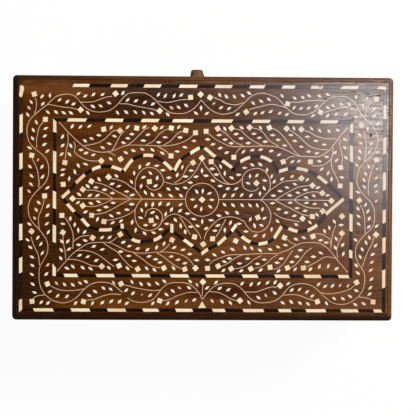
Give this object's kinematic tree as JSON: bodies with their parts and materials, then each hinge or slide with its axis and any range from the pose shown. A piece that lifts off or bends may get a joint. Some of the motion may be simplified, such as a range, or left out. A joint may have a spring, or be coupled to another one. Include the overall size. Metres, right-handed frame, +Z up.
{
  "type": "inlaid wooden box",
  "caption": "Long low wooden box with a hinged lid, its lid inlaid with bone and ebony stringing, a cusped medallion and scrolling bone vines, with a small thumb tab.",
  "frame": {"origin": "middle of the carcass on the underside, on the surface that it stands on", "axes": "+X to the right seen from the front, +Y to the back where the hinges are, +Z up"},
  "size_m": [0.382, 0.253, 0.122],
  "materials": {
    "wood": "old brown hardwood, waxed, long grain",
    "dark_wood": "darker waxed hardwood of the foot moulding",
    "bone": null,
    "ebony": "polished ebony",
    "brass": "aged cast brass, dull"
  },
  "bodies": {
    "case": {"case_front_wall": "wood", "case_right_wall": "wood", "case_back_wall": "wood", "case_left_wall": "wood", "case_bottom_board": "wood", "plinth_front": "dark_wood", "plinth_right": "dark_wood", "plinth_back": "dark_wood", "plinth_left": "dark_wood", "case_front_stringing": "bone", "case_right_stringing": "bone", "case_left_stringing": "bone", "right_hinge_case_leaf": "brass", "right_hinge_case_screw_1": "brass", "right_hinge_case_screw_2": "brass", "right_hinge_case_screw_3": "brass", "left_hinge_case_leaf": "brass", "left_hinge_case_screw_1": "brass", "left_hinge_case_screw_2": "brass", "left_hinge_case_screw_3": "brass", "right_hinge_pin": "brass", "left_hinge_pin": "brass"},
    "lid": {"lid_front_rail": "wood", "lid_right_rail": "wood", "lid_back_rail": "wood", "lid_left_rail": "wood", "lid_panel": "wood", "lid_front_moulding": "wood", "lid_right_moulding": "wood", "lid_back_moulding": "wood", "lid_left_moulding": "wood", "thumb_tab": "wood", "outer_stringing_front": "bone", "outer_stringing_back": "bone", "outer_stringing_right": "bone", "outer_stringing_left": "bone", "inner_stringing_front": "bone", "inner_stringing_back": "bone", "inner_stringing_right": "bone", "inner_stringing_left": "bone", "border_vine": "bone", "medallion_stringing": "bone", "medallion_scroll": "bone", "front_right_spray": "bone", "front_left_spray": "bone", "back_right_spray": "bone", "back_left_spray": "bone", "right_hinge_lid_leaf": "brass", "right_hinge_lid_screw_1": "brass", "right_hinge_lid_screw_2": "brass", "right_hinge_lid_screw_3": "brass", "left_hinge_lid_leaf": "brass", "left_hinge_lid_screw_1": "brass", "left_hinge_lid_screw_2": "brass", "left_hinge_lid_screw_3": "brass"}
  },
  "joints": [
    {"name": "lid_hinge", "type": "hinge", "parent": "case", "child": "lid", "pos_m": [0, 0.115, 0.09015], "axis": [-1, 0, 0], "range_deg": [0, 100]}
  ]
}
